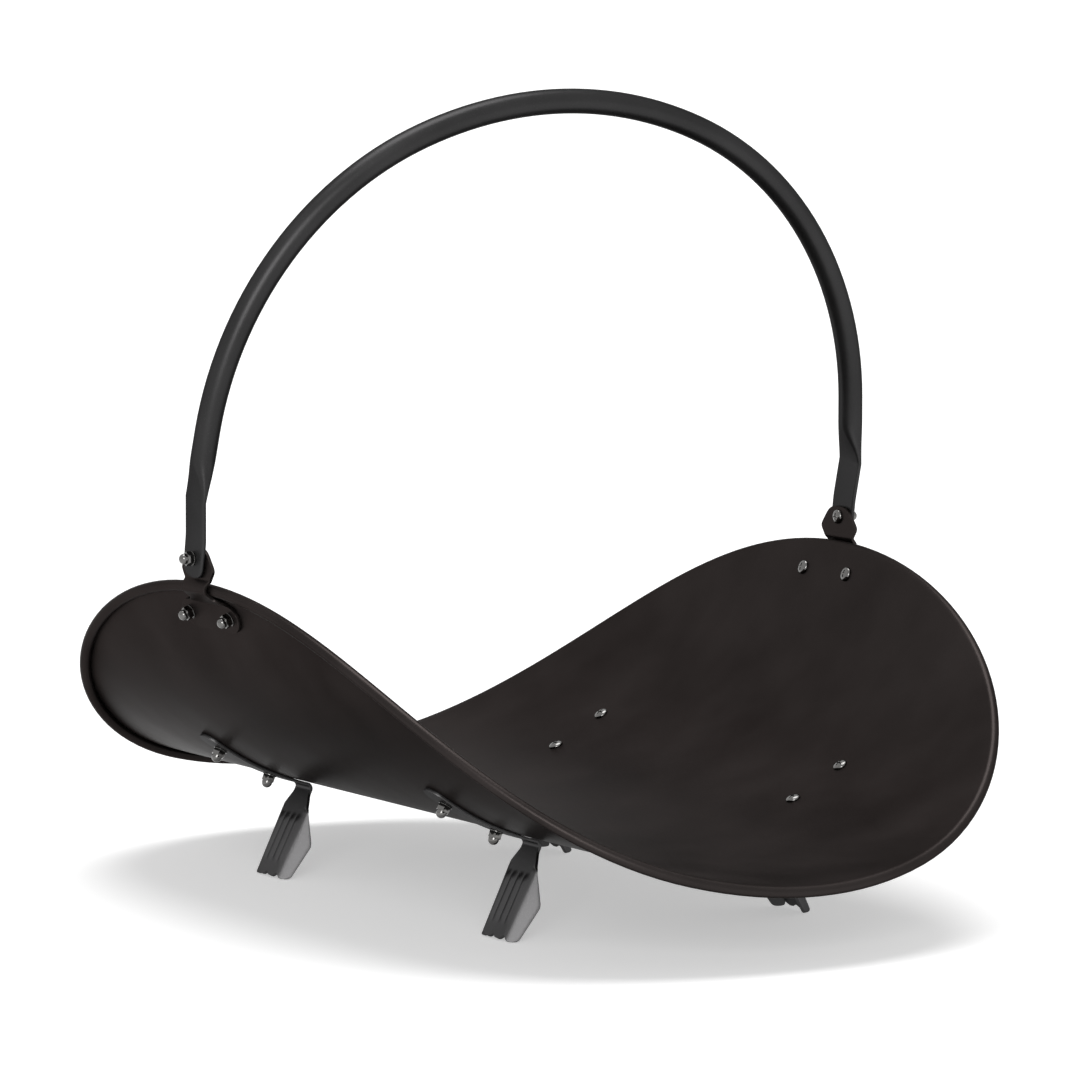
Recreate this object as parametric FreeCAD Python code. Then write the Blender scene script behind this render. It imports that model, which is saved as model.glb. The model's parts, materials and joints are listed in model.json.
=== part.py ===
import FreeCAD, Part
import math
import os

# Firewood log rack: a trough of sheet steel with a rolled rim, four stamped legs,
# two stamped brackets and a hoop handle that swings on two bolts.
# Millimetres, +Z up, X across the trough, Y along it with -Y at the front.
# The origin is on the floor, below the middle of the trough.

Vec = FreeCAD.Vector
UP = Vec(0, 0, 1)
ACROSS = Vec(1, 0, 0)
ALONG = Vec(0, 1, 0)
SIDES = {"left": -1, "right": 1}
ENDS = {"front": -1, "back": 1}

# Pan: the sheet is bent in a flat middle arc and two tighter wing arcs.
# Its blank is an ellipse, measured to the centre of the rolled rim.
SHEET = 1.2
FLOOR_RADIUS = 330.0
WING_RADIUS = 213.5
FLOOR_HALF_ANGLE = 14.4
RIM_HALF_ARC = 313.9
RIM_HALF_DEPTH = 337.7
RIM_LOWEST = 47.9
BEAD_RADIUS = 3.6
BEAD_SINK = 0.45
RIM_POINTS = 25
RIM_LENGTHS = 144

# Handle: a tube in a three-centred arch on leaning legs, flattened at its ends.
PIVOT_HEIGHT = 231.9
HANDLE_LEAN = 8.9
TUBE_RADIUS = 8.0
TUBE_WALL = 1.2
ARCH_HALF_SPAN = 242.4
ARCH_SPRING = 57.8
ARCH_RISE = 227.3
SHOULDER_RADIUS = 223.5
LEG_TILT = 5.9
TAPER_TOP = 66.0
TAPER_BOTTOM = 38.0
FLAT_WIDTH = 24.0
FLAT_THICK = 3.0
FLAT_SPLAY = 4.6
FLAT_BEND = 13.0
FLAT_X = 244.0
FLAT_CROWN = 0.02
HALF_FLAT_WIDTH = 20.8
HALF_FLAT_THICK = 8.6
HALF_FLAT_CORNER = (3.6, 8.2)
PIVOT_GAP = 0.2
PIVOT_BORE = 2.58

# Brackets: a domed head, a step out over the rim, and a base on the wing.
BRACKET_THICK = 2.0
HEAD_TOP = 6.8
HEAD_TOP_HALF = 9.5
HEAD_HALF_WIDTH = 20.6
HEAD_WIDEST_DROP = 6.8
HEAD_TOP_RADIUS = 12.0
HEAD_SIDE_RADIUS = 4.0
NECK_DROP = 15.0
NECK_RADIUS = 4.0
BASE_CORNER_RADIUS = 3.0
STEP_TOP_DROP = 13.4
STEP_BOTTOM_DROP = 17.2
STEP_OUT = 3.2
STEP_RETURN_DROP = 20.6
STEP_BEND = 2.2
NECK_HALF_WIDTH = 14.8
BASE_HALF_WIDTH = 35.6
BASE_LOBE = 10.2
LOBE_MARGIN = 0.05
BASE_TOP_ARC = 9.5
BASE_BOLT_ARC = 18.6
BASE_BOTTOM_ARC = 30.5
BASE_BOLT_Y = 25.3
SEAT_GAP = 0.06
HEAD_GAP = 0.1

# Legs: a pad on the underside of the wing, a bend, and a splayed foot.
LEG_THICK = 2.0
LEG_Y = 144.5
PAD_HALF_WIDTH = 9.75
PAD_BOLT_ANGLES = (33.1, 22.2)
PAD_END_ANGLE = 35.1
PAD_BEND_ANGLE = 15.75
BEND_RADIUS = 3.4
SPLAY = 27.2
FOOT_LENGTH = 61.3
SHOULDER_START = 3.0
FOLD_START = 13.2
FOLD_HALF_WIDTH = 15.2
SOLE_HALF_WIDTH = 13.0
FOOT_SHOULDER_RADIUS = 6.0
TOE_RADIUS = 4.0
TOE_INNER_HALF = 1.5
TOE_INNER_RADIUS = 1.2
TOE_NOTCH = 2.6
TOE_NOTCH_RADIUS = 0.8
FLANGE_ANGLE = 55.0
FLANGE_CORNER = (21.4, 12.2)
FLANGE_CORNER_RADIUS = 2.0
FLANGE_TIP = (47.2, 8.3)
FLANGE_TIP_RADIUS = 3.5
FLANGE_SOLE = (47.9, 3.2)
FLANGE_SOLE_RADIUS = 2.5
FLANGE_STOP = 1.0
RIB_PLACES = (-10.6, -3.8, 3.8, 10.6)
RIB_RADIUS = 4.4
RIB_RISE = 1.0
RIB_SPAN = (20.5, 49.0)

# M5 fasteners: round-head bolts, plain washers and domed nuts.
BOLT_RADIUS = 2.5
HOLE_RADIUS = 2.7
HEAD_RIM_RADIUS = 4.75
HEAD_EDGE = 0.6
HEAD_HEIGHT = 2.6
RECESS_LENGTH = 5.0
RECESS_WIDTH = 1.0
RECESS_DEPTH = 1.4
WASHER_RADIUS = 4.5
WASHER_THICK = 0.6
NUT_FLATS = 8.0
NUT_HEX_HEIGHT = 4.0
NUT_HEIGHT = 8.4
NUT_DOME_RADIUS = 3.4
NUT_BEVEL = 0.4
NUT_BORE = 2.55
NUT_BORE_DEPTH = 6.4
THREAD_IN_NUT = 5.8

# Margins of the cutting bodies.
RIM_CUT = 4.0
END_MARGIN = 1.0
BORE_BEHIND = 5.0
BORE_LENGTH = 15.0
PAD_CUT = 60.0
PAD_MARGIN = 4.0
BLOCK = 300.0

# Worked out from the driving sizes.
RIM_RADIUS = WING_RADIUS + BEAD_RADIUS
FLOOR_CENTRE_Z = RIM_LOWEST + FLOOR_RADIUS + BEAD_RADIUS
ARC_STEP = FLOOR_RADIUS - WING_RADIUS
WING_X = ARC_STEP * math.sin(math.radians(FLOOR_HALF_ANGLE))
WING_Z = FLOOR_CENTRE_Z - ARC_STEP * math.cos(math.radians(FLOOR_HALF_ANGLE))
FLOOR_HALF_ARC = (FLOOR_RADIUS + BEAD_RADIUS) * math.radians(FLOOR_HALF_ANGLE)
PAN_OUTSIDE = WING_RADIUS + SHEET
BEAD_OFFSET = BEAD_RADIUS - BEAD_SINK
HEAD_FACE_X = FLAT_X - FLAT_THICK / 2 - PIVOT_GAP
BASE_BOW = (BASE_BOTTOM_ARC - BASE_TOP_ARC) ** 2 / (8 * PAN_OUTSIDE)


def sind(angle):
    return math.sin(math.radians(angle))


def cosd(angle):
    return math.cos(math.radians(angle))


def rim_angle(arc):
    """Slope of the trough, in degrees, at a distance along the rim's path from the middle."""
    reach = abs(arc)
    if reach <= FLOOR_HALF_ARC:
        angle = math.degrees(reach / (FLOOR_RADIUS + BEAD_RADIUS))
    else:
        angle = FLOOR_HALF_ANGLE + math.degrees((reach - FLOOR_HALF_ARC) / RIM_RADIUS)
    return math.copysign(angle, arc)


def trough_point(angle, offset):
    """Point of the trough's section at a slope angle, a distance outside its inner face."""
    side = math.copysign(1, angle)
    turn = abs(angle)
    if turn <= FLOOR_HALF_ANGLE:
        radius = FLOOR_RADIUS + offset
        return Vec(side * radius * sind(turn), 0, FLOOR_CENTRE_Z - radius * cosd(turn))
    radius = WING_RADIUS + offset
    return Vec(side * (WING_X + radius * sind(turn)), 0, WING_Z - radius * cosd(turn))


def trough_normal(angle):
    """Direction out of the trough, away from the logs."""
    return Vec(sind(angle), 0, -cosd(angle))


def rim_point(turn, offset):
    """Point of the elliptical rim, a distance outside the sheet's inner face."""
    angle = rim_angle(RIM_HALF_ARC * cosd(turn))
    point = trough_point(angle, offset)
    return Vec(point.x, RIM_HALF_DEPTH * sind(turn), point.z)


def bead_drop_angle(arc):
    """Slope of the wing at a distance below the rim's highest point."""
    return rim_angle(RIM_HALF_ARC - arc)


def rounded_wire(corners):
    """Closed wire through (point, radius) corners, with an arc of that radius at each corner."""
    edges = []
    joints = []
    count = len(corners)
    for index, (point, radius) in enumerate(corners):
        before = corners[index - 1][0]
        after = corners[(index + 1) % count][0]
        back = (before - point).normalize()
        ahead = (after - point).normalize()
        half = back.getAngle(ahead) / 2
        reach = radius / math.tan(half) if radius else 0
        start = point + back * reach
        end = point + ahead * reach
        middle = point
        if radius:
            bisector = (back + ahead).normalize()
            middle = point + bisector * (radius / math.sin(half) - radius)
        joints.append((start, middle, end, radius))
    for index, (start, middle, end, radius) in enumerate(joints):
        if radius:
            edges.append(Part.Arc(start, middle, end).toShape())
        following = joints[(index + 1) % count][0]
        if end.distanceToPoint(following) > 1e-4:
            edges.append(Part.LineSegment(end, following).toShape())
    return Part.Wire(edges)


def plate(corners, direction, thickness):
    """Plate of a rounded outline, centred on the outline's plane."""
    face = Part.Face(rounded_wire(corners))
    face.translate(direction * (-thickness / 2))
    return face.extrude(direction * thickness)


def rod(start, direction, radius, length):
    return Part.makeCylinder(radius, length, start, direction)


def mirrored(shape, side):
    """The right-hand shape, or its mirror image for the left."""
    if side > 0:
        return shape
    return shape.mirror(Vec(0, 0, 0), ACROSS)


# ---------------------------------------------------------------- pan

def trough_arc(low, high, offset):
    middle = (low + high) / 2
    ends = [trough_point(angle, offset) for angle in (low, middle, high)]
    return Part.Arc(*ends).toShape()


def trough_bar(end_angle):
    """The bent sheet before it is cut to its outline."""
    marks = (-end_angle, -FLOOR_HALF_ANGLE, FLOOR_HALF_ANGLE, end_angle)
    edges = []
    for offset in (0, SHEET):
        edges += [trough_arc(low, high, offset) for low, high in zip(marks, marks[1:])]
    for angle in (-end_angle, end_angle):
        tip = (trough_point(angle, 0), trough_point(angle, SHEET))
        edges.append(Part.LineSegment(*tip).toShape())
    wire = Part.Wire(Part.__sortEdges__(edges))
    half = RIM_HALF_DEPTH + BEAD_RADIUS
    face = Part.Face(wire)
    face.translate(ALONG * -half)
    return face.extrude(ALONG * (2 * half))


def quarter_path(offset):
    """Rim curve from its highest point, at the side, to its lowest, at the end of the trough."""
    turns = [90 * index / (RIM_POINTS - 1) for index in range(RIM_POINTS)]
    curve = Part.BSplineCurve()
    curve.interpolate(
        Points=[rim_point(turn, offset) for turn in turns],
        InitialTangent=ALONG,
        FinalTangent=Vec(-1, 0, 0),
    )
    return curve.toShape()


def all_quarters(shape):
    """A quarter and its mirror images in the two middle planes."""
    half = [shape, shape.mirror(Vec(0, 0, 0), ACROSS)]
    return half + [piece.mirror(Vec(0, 0, 0), ALONG) for piece in half]


def rim_cutter():
    """Walls square to the sheet along the rim."""
    near = quarter_path(-RIM_CUT)
    far = quarter_path(SHEET + RIM_CUT)
    return all_quarters(Part.makeRuledSurface(near, far))


def bead():
    """The rolled rim: a round bead on the outside of the sheet, in short mitred lengths."""
    step = 360 / RIM_LENGTHS
    corners = [rim_point(step * (index + 0.5), BEAD_OFFSET) for index in range(RIM_LENGTHS)]
    start = (corners[0] + corners[-1]) / 2
    path = Part.makePolygon([start] + corners + [start])
    ring = Part.Wire(Part.makeCircle(BEAD_RADIUS, start, ALONG))
    mitred = 1
    return path.makePipeShell([ring], True, False, mitred)


def pan():
    end_angle = rim_angle(RIM_HALF_ARC) + END_MARGIN
    bar = trough_bar(end_angle)
    pieces, _ = bar.generalFuse(rim_cutter())
    centre = trough_point(0, SHEET / 2)
    sheet = [piece for piece in pieces.Solids if piece.isInside(centre, 0.01, True)][0]
    body = sheet.fuse(bead())
    for seat, outward in pan_bolt_seats():
        start = seat - outward * BORE_BEHIND
        body = body.cut(rod(start, outward, HOLE_RADIUS, BORE_LENGTH))
    return body


def pan_bolt_seats():
    """Where each bolt's head bears on the inner face, and the direction of its shank."""
    seats = []
    for side in SIDES.values():
        for end in ENDS.values():
            places = [(angle, end * LEG_Y) for angle in PAD_BOLT_ANGLES]
            places.append((bead_drop_angle(BASE_BOLT_ARC), end * BASE_BOLT_Y))
            for angle, along in places:
                point = trough_point(side * angle, 0)
                seats.append((Vec(point.x, along, point.z), trough_normal(side * angle)))
    return seats


# ---------------------------------------------------------------- fasteners, head at z = 0

def bolt(grip):
    """Round-head bolt with a cross recess; its head's bearing face is at z = 0."""
    cap_height = HEAD_HEIGHT - HEAD_EDGE
    ball_radius = (HEAD_RIM_RADIUS ** 2 + cap_height ** 2) / (2 * cap_height)
    rim = rod(Vec(0, 0, -HEAD_HEIGHT), UP, HEAD_RIM_RADIUS, HEAD_HEIGHT)
    ball = Part.makeSphere(ball_radius, Vec(0, 0, ball_radius - HEAD_HEIGHT))
    head = rim.common(ball)
    shank_length = grip + WASHER_THICK + THREAD_IN_NUT
    whole = head.fuse(rod(Vec(0, 0, -HEAD_EDGE), UP, BOLT_RADIUS, shank_length + HEAD_EDGE))
    for length, width in ((RECESS_LENGTH, RECESS_WIDTH), (RECESS_WIDTH, RECESS_LENGTH)):
        corner = Vec(-length / 2, -width / 2, -HEAD_HEIGHT - END_MARGIN)
        whole = whole.cut(Part.makeBox(length, width, RECESS_DEPTH + END_MARGIN, corner))
    return whole


def washer():
    ring = rod(Vec(0, 0, 0), UP, WASHER_RADIUS, WASHER_THICK)
    bore = rod(Vec(0, 0, -END_MARGIN), UP, HOLE_RADIUS, WASHER_THICK + 2 * END_MARGIN)
    return ring.cut(bore)


def domed_nut():
    """Hexagon nut closed by a round cap, with a blind hole from below."""
    corner_radius = NUT_FLATS / 2 / cosd(30)
    corners = [Vec(corner_radius * cosd(turn), corner_radius * sind(turn), 0)
               for turn in range(0, 361, 60)]
    hexagon = Part.Face(Part.makePolygon(corners)).extrude(UP * NUT_HEX_HEIGHT)
    cone_height = NUT_HEX_HEIGHT + corner_radius - NUT_FLATS / 2
    bevel = Part.makeCone(corner_radius + cone_height, NUT_FLATS / 2 - NUT_BEVEL,
                          cone_height + NUT_BEVEL)
    hexagon = hexagon.common(bevel)
    column_height = NUT_HEIGHT - NUT_DOME_RADIUS
    column = rod(Vec(0, 0, 0), UP, NUT_DOME_RADIUS, column_height)
    cap = Part.makeSphere(NUT_DOME_RADIUS, Vec(0, 0, column_height))
    blind_hole = rod(Vec(0, 0, -END_MARGIN), UP, NUT_BORE, NUT_BORE_DEPTH + END_MARGIN)
    return hexagon.fuse([column, cap]).removeSplitter().cut(blind_hole)


def fastening(name, seat, outward, grip):
    """Bolt, washer and domed nut that clamp a grip from the seat outwards."""
    turn = FreeCAD.Rotation(UP, outward)
    stack = {"bolt": (bolt(grip), 0), "washer": (washer(), grip),
             "nut": (domed_nut(), grip + WASHER_THICK)}
    made = {}
    for kind, (shape, height) in stack.items():
        piece = shape.copy()
        piece.Placement = FreeCAD.Placement(seat + outward * height, turn)
        made[name.format(kind)] = piece
    return made


# ---------------------------------------------------------------- brackets

def bracket_centreline():
    """Side view of the right bracket's plate: head, step over the rim, and base."""
    head_x = HEAD_FACE_X - BRACKET_THICK / 2
    top = PIVOT_HEIGHT + HEAD_TOP + END_MARGIN
    seat = SHEET + SEAT_GAP + BASE_BOW + BRACKET_THICK / 2
    upper = trough_point(bead_drop_angle(BASE_TOP_ARC), seat)
    lower = trough_point(bead_drop_angle(BASE_BOTTOM_ARC), seat)
    return [
        Vec(head_x, 0, top),
        Vec(head_x, 0, PIVOT_HEIGHT - STEP_TOP_DROP),
        Vec(head_x + STEP_OUT, 0, PIVOT_HEIGHT - STEP_BOTTOM_DROP),
        Vec(head_x + STEP_OUT, 0, PIVOT_HEIGHT - STEP_RETURN_DROP),
        upper,
        lower,
    ]


def bent_strip(centreline, thickness, bend):
    """Section of a strip that follows a line of points, with round bends."""
    def shifted(distance):
        corners = []
        for index, point in enumerate(centreline):
            back = centreline[max(index - 1, 0)]
            ahead = centreline[min(index + 1, len(centreline) - 1)]
            before = (point - back) if index else (ahead - point)
            after = (ahead - point) if index < len(centreline) - 1 else before
            before.normalize()
            after.normalize()
            side = ALONG.cross(before + after).normalize()
            stretch = 1 / side.dot(ALONG.cross(after))
            inner = (before.cross(after)).dot(ALONG)
            turns = 0 < index < len(centreline) - 1
            radius = bend - math.copysign(distance, 1) * math.copysign(1, inner * distance)
            corners.append((point + side * (distance * stretch), radius if turns else 0))
        return corners
    return shifted(thickness / 2) + shifted(-thickness / 2)[::-1]


def bracket_outline():
    """Front view of the bracket: domed head, neck, and a base with two round lobes."""
    bolt_z = trough_point(bead_drop_angle(BASE_BOLT_ARC), SHEET).z - PIVOT_HEIGHT
    base_top = bolt_z + BASE_LOBE
    base_bottom = bolt_z - BASE_LOBE
    half = [
        (HEAD_TOP_HALF, HEAD_TOP, HEAD_TOP_RADIUS),
        (HEAD_HALF_WIDTH, -HEAD_WIDEST_DROP, HEAD_SIDE_RADIUS),
        (NECK_HALF_WIDTH, -NECK_DROP, NECK_RADIUS),
        (NECK_HALF_WIDTH, base_top, BASE_CORNER_RADIUS),
        (BASE_HALF_WIDTH, base_top, BASE_LOBE - LOBE_MARGIN),
        (BASE_HALF_WIDTH, base_bottom, BASE_LOBE - LOBE_MARGIN),
    ]
    both = half + [(-along, drop, radius) for along, drop, radius in reversed(half)]
    return [(Vec(0, along, PIVOT_HEIGHT + drop), radius) for along, drop, radius in both]


def bracket():
    """The right-hand bracket."""
    strip = bent_strip(bracket_centreline(), BRACKET_THICK, STEP_BEND)
    wide = plate(strip, ALONG, 2 * (BASE_HALF_WIDTH + END_MARGIN))
    outline = Part.Face(rounded_wire(bracket_outline()))
    body = wide.common(outline.extrude(ACROSS * BLOCK))
    pivot = Vec(HEAD_FACE_X - BORE_LENGTH / 2, 0, PIVOT_HEIGHT)
    body = body.cut(rod(pivot, ACROSS, PIVOT_BORE, BORE_LENGTH))
    angle = bead_drop_angle(BASE_BOLT_ARC)
    for end in ENDS.values():
        point = trough_point(angle, -BORE_BEHIND)
        start = Vec(point.x, end * BASE_BOLT_Y, point.z)
        body = body.cut(rod(start, trough_normal(angle), HOLE_RADIUS, BORE_LENGTH))
    return body


# ---------------------------------------------------------------- legs

def pad():
    """Curved strip against the underside of the wing, with a round outer end."""
    offset = SHEET + SEAT_GAP
    inner = trough_arc(PAD_BEND_ANGLE, PAD_END_ANGLE + PAD_MARGIN, offset)
    outer = trough_arc(PAD_BEND_ANGLE, PAD_END_ANGLE + PAD_MARGIN, offset + LEG_THICK)
    edges = [inner, outer]
    for angle in (PAD_BEND_ANGLE, PAD_END_ANGLE + PAD_MARGIN):
        tip = (trough_point(angle, offset), trough_point(angle, offset + LEG_THICK))
        edges.append(Part.LineSegment(*tip).toShape())
    face = Part.Face(Part.Wire(Part.__sortEdges__(edges)))
    face.translate(ALONG * -PAD_HALF_WIDTH)
    strip = face.extrude(ALONG * (2 * PAD_HALF_WIDTH))
    outward = trough_normal(PAD_END_ANGLE)
    end_disc = rod(trough_point(PAD_END_ANGLE, -BORE_BEHIND), outward, PAD_HALF_WIDTH, BORE_LENGTH)
    rest = Part.makeBox(2 * PAD_CUT, 4 * PAD_HALF_WIDTH, PAD_CUT,
                        Vec(-2 * PAD_CUT, -2 * PAD_HALF_WIDTH, -PAD_CUT / 2))
    rest.Placement = FreeCAD.Placement(trough_point(PAD_END_ANGLE, 0),
                                       FreeCAD.Rotation(ALONG, -PAD_END_ANGLE))
    strip = strip.common(end_disc.fuse(rest))
    for angle in PAD_BOLT_ANGLES:
        start = trough_point(angle, -BORE_BEHIND)
        strip = strip.cut(rod(start, trough_normal(angle), HOLE_RADIUS, BORE_LENGTH))
    return strip


def foot_frame():
    """Start of the foot, below the bend, and its directions down and outwards."""
    middle = SHEET + SEAT_GAP + LEG_THICK / 2
    pad_end = trough_point(PAD_BEND_ANGLE, middle)
    pad_normal = trough_normal(PAD_BEND_ANGLE)
    bend_centre = pad_end + pad_normal * BEND_RADIUS
    outward = Vec(cosd(SPLAY), 0, sind(SPLAY))
    down = Vec(sind(SPLAY), 0, -cosd(SPLAY))
    return bend_centre, outward, down


def bend():
    """Quarter bend between the pad and the foot."""
    bend_centre, outward, down = foot_frame()
    pad_normal = trough_normal(PAD_BEND_ANGLE)
    ring = rod(bend_centre - ALONG * PAD_HALF_WIDTH, ALONG,
               BEND_RADIUS + LEG_THICK / 2, 2 * PAD_HALF_WIDTH)
    ring = ring.cut(rod(bend_centre - ALONG * PAD_HALF_WIDTH * 1.1, ALONG,
                        BEND_RADIUS - LEG_THICK / 2, 2.2 * PAD_HALF_WIDTH))
    reach = 4 * BEND_RADIUS
    half = 1.1 * PAD_HALF_WIDTH
    middle = (pad_normal * -1 - outward).normalize()
    corners = [bend_centre, bend_centre - pad_normal * reach,
               bend_centre + middle * 2 * reach, bend_centre - outward * reach, bend_centre]
    sector = Part.Face(Part.makePolygon(corners))
    sector.translate(ALONG * -half)
    return ring.common(sector.extrude(ALONG * (2 * half)))


def foot_point(origin, down, drop, along):
    return origin + down * drop + ALONG * along


def web(origin, outward, down):
    """Flat of the foot: a neck that widens, and a sole with two round toes."""
    sole = FOOT_LENGTH
    half = [
        (0, PAD_HALF_WIDTH, 0),
        (SHOULDER_START, PAD_HALF_WIDTH, FOOT_SHOULDER_RADIUS),
        (FOLD_START, FOLD_HALF_WIDTH, 0),
        (sole, SOLE_HALF_WIDTH, TOE_RADIUS),
        (sole, TOE_INNER_HALF, TOE_INNER_RADIUS),
    ]
    corners = [(foot_point(origin, down, drop, y), r) for drop, y, r in half]
    corners.append((foot_point(origin, down, sole - TOE_NOTCH, 0), TOE_NOTCH_RADIUS))
    corners += [(foot_point(origin, down, drop, -y), r) for drop, y, r in reversed(half)]
    return plate(corners, outward, LEG_THICK)


def fold_line(origin, down, end):
    start = foot_point(origin, down, FOLD_START, end * FOLD_HALF_WIDTH)
    finish = foot_point(origin, down, FOOT_LENGTH, end * SOLE_HALF_WIDTH)
    return start, (finish - start).normalize(), start.distanceToPoint(finish)


def flange(origin, outward, down, end):
    """Side of the foot, folded back from the flat, with its tip on the floor."""
    start, run, length = fold_line(origin, down, end)
    sideways = (ALONG * end - run * run.dot(ALONG * end)).normalize()
    width = sideways * cosd(FLANGE_ANGLE) - outward * sind(FLANGE_ANGLE)
    normal = run.cross(width).normalize()
    spots = [((0, 0), 0), (FLANGE_CORNER, FLANGE_CORNER_RADIUS), (FLANGE_TIP, FLANGE_TIP_RADIUS),
             (FLANGE_SOLE, FLANGE_SOLE_RADIUS), ((length - FLANGE_STOP, 0), 0)]
    corners = [(start + run * drop + width * out, radius) for (drop, out), radius in spots]
    fold = rod(start, run, LEG_THICK / 2, length - TOE_RADIUS)
    return [plate(corners, normal, LEG_THICK), fold]


def rib(origin, outward, down, along):
    """Pressed rib on the outer face of the foot."""
    sink = LEG_THICK / 2 + RIB_RISE - RIB_RADIUS
    ends = [foot_point(origin, down, drop, along) + outward * sink for drop in RIB_SPAN]
    bar = rod(ends[0], down, RIB_RADIUS, RIB_SPAN[1] - RIB_SPAN[0])
    balls = [Part.makeSphere(RIB_RADIUS, end) for end in ends]
    cover = [(foot_point(origin, down, drop, along + side * RIB_RADIUS), 0)
             for drop, side in ((FOLD_START, -1), (FOOT_LENGTH, -1),
                                (FOOT_LENGTH, 1), (FOLD_START, 1))]
    block = Part.Face(rounded_wire(cover)).extrude(outward * 2 * RIB_RADIUS)
    return bar.fuse(balls).common(block)


def leg():
    """The right-hand leg, about y = 0, cut off flat at the floor."""
    bend_centre, outward, down = foot_frame()
    origin = bend_centre - outward * BEND_RADIUS
    pieces = [bend(), web(origin, outward, down)]
    for end in ENDS.values():
        pieces += flange(origin, outward, down, end)
    for along in RIB_PLACES:
        pieces.append(rib(origin, outward, down, along))
    whole = pad().fuse(pieces).removeSplitter()
    below = Part.makeBox(BLOCK, BLOCK, BLOCK, Vec(0, -BLOCK / 2, -BLOCK))
    return whole.cut(below)


# ---------------------------------------------------------------- handle

def leg_top():
    """Where the right leg of the arch meets its shoulder, in the XZ plane of the pivots."""
    shift = ARCH_HALF_SPAN - SHOULDER_RADIUS
    return Vec(shift + SHOULDER_RADIUS * cosd(LEG_TILT), 0,
               ARCH_SPRING + SHOULDER_RADIUS * sind(LEG_TILT))


def leg_place(height):
    """Point of the right leg's middle line at a height above the pivot."""
    top = leg_top()
    return Vec(top.x + (top.z - height) * math.tan(math.radians(LEG_TILT)), 0, height)


def arch_pieces(radius):
    """Arch of round bar in the XZ plane, with the pivots on the X axis."""
    shift = ARCH_HALF_SPAN - SHOULDER_RADIUS
    rise = ARCH_RISE
    crown = (rise ** 2 + shift ** 2 - SHOULDER_RADIUS ** 2) / (2 * (rise - SHOULDER_RADIUS))
    crown_z = ARCH_SPRING + rise - crown
    meet = math.degrees(math.atan2(ARCH_SPRING - crown_z, shift))
    shoulder = arc_bar(Vec(shift, 0, ARCH_SPRING), SHOULDER_RADIUS, LEG_TILT, meet, radius)
    foot = leg_place(TAPER_TOP)
    run = leg_top() - foot
    leg_bar = rod(foot, run, radius, run.Length)
    pieces = [arc_bar(Vec(0, 0, crown_z), crown, meet, 180 - meet, radius)]
    for side in (1, -1):
        pieces += [mirrored(shoulder, side), mirrored(leg_bar, side)]
    return pieces


def arc_bar(centre, bend_radius, low, high, radius):
    """Round bar along an arc about an axis parallel to Y, angles from +X towards +Z."""
    start = centre + Vec(bend_radius * cosd(low), 0, bend_radius * sind(low))
    tangent = Vec(-sind(low), 0, cosd(low))
    disc = Part.Face(Part.Wire(Part.makeCircle(radius, start, tangent)))
    return disc.revolve(centre, Vec(0, -1, 0), high - low)


def tube_section(centre, tilt, width, thickness, corner_x, corner_y):
    """Section of the tube as four arcs: two broad faces and two rounded edges."""
    def at(x, y):
        return centre + Vec(x * cosd(tilt), y, x * sind(tilt))
    broad = thickness / 2
    edge = width / 2
    arcs = [
        (at(corner_x, -corner_y), at(broad, 0), at(corner_x, corner_y)),
        (at(corner_x, corner_y), at(0, edge), at(-corner_x, corner_y)),
        (at(-corner_x, corner_y), at(-broad, 0), at(-corner_x, -corner_y)),
        (at(-corner_x, -corner_y), at(0, -edge), at(corner_x, -corner_y)),
    ]
    return Part.Wire([Part.Arc(*three).toShape() for three in arcs])


def flat_section(height, tilt):
    """Section of the flattened end, which splays out above its lower bend."""
    corner_x = FLAT_THICK / 2 - FLAT_CROWN
    corner_y = FLAT_WIDTH / 2 - FLAT_THICK / 2
    spread = max(height - FLAT_BEND, 0) * math.tan(math.radians(FLAT_SPLAY))
    centre = Vec(FLAT_X + spread, 0, height)
    return tube_section(centre, tilt, FLAT_WIDTH, FLAT_THICK, corner_x, corner_y)


def handle_end():
    """Right end of the tube: a taper, a flat, and a round eye for the bolt."""
    corner = TUBE_RADIUS * sind(45)
    round_section = tube_section(leg_place(TAPER_TOP), LEG_TILT, 2 * TUBE_RADIUS,
                                 2 * TUBE_RADIUS, corner, corner)
    half_way = leg_place((TAPER_TOP + TAPER_BOTTOM) / 2)
    half_flat = tube_section(half_way, LEG_TILT / 2, HALF_FLAT_WIDTH, HALF_FLAT_THICK,
                             *HALF_FLAT_CORNER)
    flat_top = flat_section(TAPER_BOTTOM, -FLAT_SPLAY)
    taper = Part.makeLoft([round_section, half_flat, flat_top], True)
    flat = Part.makeLoft([flat_top, flat_section(FLAT_BEND, -FLAT_SPLAY / 2),
                          flat_section(0, 0)], True, True)
    eye_start = Vec(FLAT_X - FLAT_THICK / 2, 0, 0)
    eye = rod(eye_start, ACROSS, FLAT_WIDTH / 2, FLAT_THICK)
    bore = rod(Vec(FLAT_X - BORE_LENGTH / 2, 0, 0), ACROSS, PIVOT_BORE, BORE_LENGTH)
    return [taper, flat, eye], bore


def handle():
    """The whole tube, hollow between its tapers, leaning to the front as it stands."""
    end_pieces, bore = handle_end()
    solids = arch_pieces(TUBE_RADIUS)
    for side in (1, -1):
        solids += [mirrored(piece, side) for piece in end_pieces]
    body = solids[0].fuse(solids[1:]).removeSplitter()
    inside = arch_pieces(TUBE_RADIUS - TUBE_WALL)
    body = body.cut(inside[0].fuse(inside[1:]).removeSplitter())
    for side in (1, -1):
        body = body.cut(mirrored(bore, side))
    body.translate(UP * PIVOT_HEIGHT)
    body.rotate(UP * PIVOT_HEIGHT, ACROSS, HANDLE_LEAN)
    return body


# ---------------------------------------------------------------- assembly

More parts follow.
